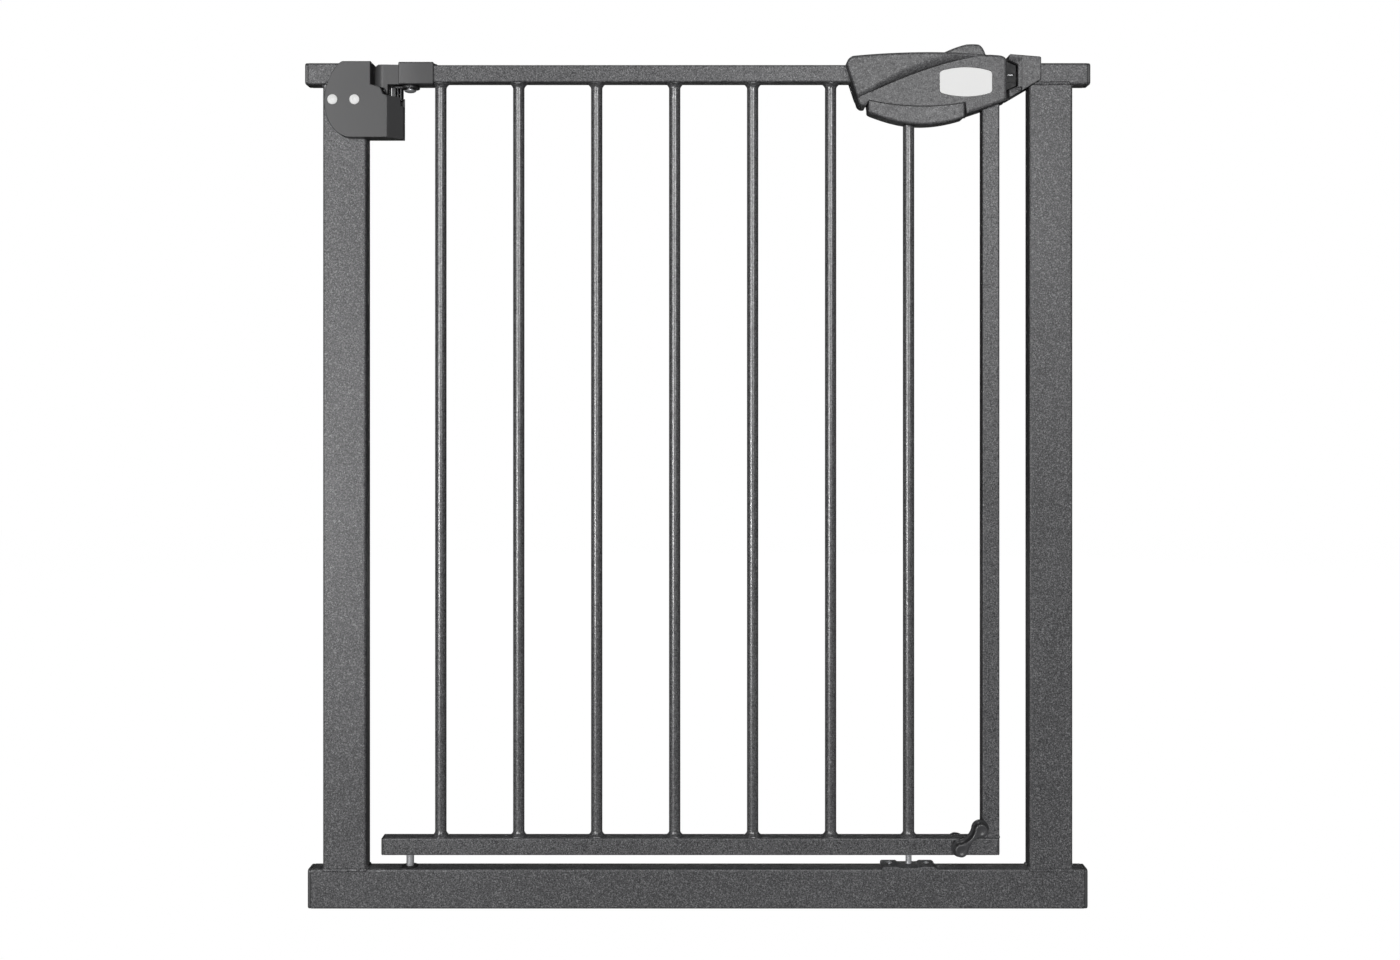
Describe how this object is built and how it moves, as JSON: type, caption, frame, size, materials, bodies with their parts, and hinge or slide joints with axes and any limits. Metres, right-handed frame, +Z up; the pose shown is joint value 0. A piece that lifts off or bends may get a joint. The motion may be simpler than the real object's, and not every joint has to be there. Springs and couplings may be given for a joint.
{
  "type": "safety gate",
  "caption": "Pressure-fit safety gate: a U-shaped tube frame with a barred leaf that swings both ways, a two-action latch handle and swing-stop levers.",
  "frame": {"origin": "on the floor, at the middle of the frame in width and depth", "axes": "+X to the latch side, +Y to the back, +Z up"},
  "size_m": [0.725, 0.044, 0.799],
  "materials": {
    "painted_steel": "dark grey powder coat with a fine speckle",
    "grey_plastic": "finely textured dark grey",
    "black_plastic": "black moulded",
    "pale_plastic": "white, blank",
    "zinc_steel": "bright zinc plated",
    "spring_steel": "oiled spring steel"
  },
  "bodies": {
    "frame": {"bottom_rail": "painted_steel", "left_post": "painted_steel", "right_post": "painted_steel", "left_top_arm": "painted_steel", "right_top_arm": "painted_steel", "end_plug_top_left": "black_plastic", "end_plug_top_right": "black_plastic", "end_plug_bottom_left": "black_plastic", "end_plug_bottom_right": "black_plastic", "pivot_bush": "black_plastic", "bolt_guide": "painted_steel", "guide_rivet_left": "zinc_steel", "guide_rivet_right": "zinc_steel", "hinge_bracket": "spring_steel", "upper_pivot_pin": "zinc_steel", "hinge_washer": "zinc_steel", "hinge_cover_front": "grey_plastic", "hinge_cover_rear": "grey_plastic", "hinge_screw_outer": "pale_plastic", "hinge_screw_inner": "pale_plastic", "keeper_front": "grey_plastic", "keeper_rear": "grey_plastic", "strike_plate": "zinc_steel", "keeper_screw": "zinc_steel"},
    "leaf": {"gate_top_rail": "painted_steel", "gate_bottom_rail": "painted_steel", "gate_rail_plug_left": "black_plastic", "gate_rail_plug_right": "black_plastic", "gate_upright": "painted_steel", "bar_1": "painted_steel", "bar_2": "painted_steel", "bar_3": "painted_steel", "bar_4": "painted_steel", "bar_5": "painted_steel", "bar_6": "painted_steel", "bar_7": "painted_steel", "lower_pivot_pin": "painted_steel", "hinge_sleeve": "grey_plastic", "closing_spring": "spring_steel", "handle_front_shell": "grey_plastic", "handle_rear_shell": "grey_plastic", "handle_inlay": "pale_plastic", "handle_screw_1": "zinc_steel", "handle_screw_2": "zinc_steel", "handle_screw_3": "zinc_steel", "latch_nose": "black_plastic", "latch_spring": "spring_steel", "latch_spring_seat": "black_plastic", "trigger_spring": "spring_steel", "stop_axle": "zinc_steel"},
    "latch": {"latch_bolt": "zinc_steel", "thumb_slider": "grey_plastic"},
    "trigger": {"trigger_grip": "grey_plastic", "pull_rod": "zinc_steel", "rod_pin": "zinc_steel"},
    "front_lever": {"front_stop_lever": "black_plastic"},
    "rear_lever": {"rear_stop_lever": "black_plastic"}
  },
  "joints": [
    {"name": "gate_swing", "type": "hinge", "parent": "frame", "child": "leaf", "pos_m": [-0.267, 0, 0.4], "axis": [0, 0, 1], "range_deg": [-90, 90], "stiffness_Nm_per_rad": 0.4},
    {"name": "latch_slide", "type": "slide", "parent": "leaf", "child": "latch", "axis": [-1, 0, 0], "range_m": [0, 0.009], "stiffness_N_per_m": 300},
    {"name": "trigger_pull", "type": "slide", "parent": "leaf", "child": "trigger", "axis": [0, 0, 1], "range_m": [0, 0.006], "stiffness_N_per_m": 400, "deforming": ["trigger_spring"]},
    {"name": "front_stop_turn", "type": "hinge", "parent": "leaf", "child": "front_lever", "pos_m": [0.2416, -0.015, 0.0568], "axis": [0, 1, 0], "range_deg": [0, 135]},
    {"name": "rear_stop_turn", "type": "hinge", "parent": "leaf", "child": "rear_lever", "pos_m": [0.2416, 0.015, 0.0568], "axis": [0, 1, 0], "range_deg": [0, 90]}
  ]
}
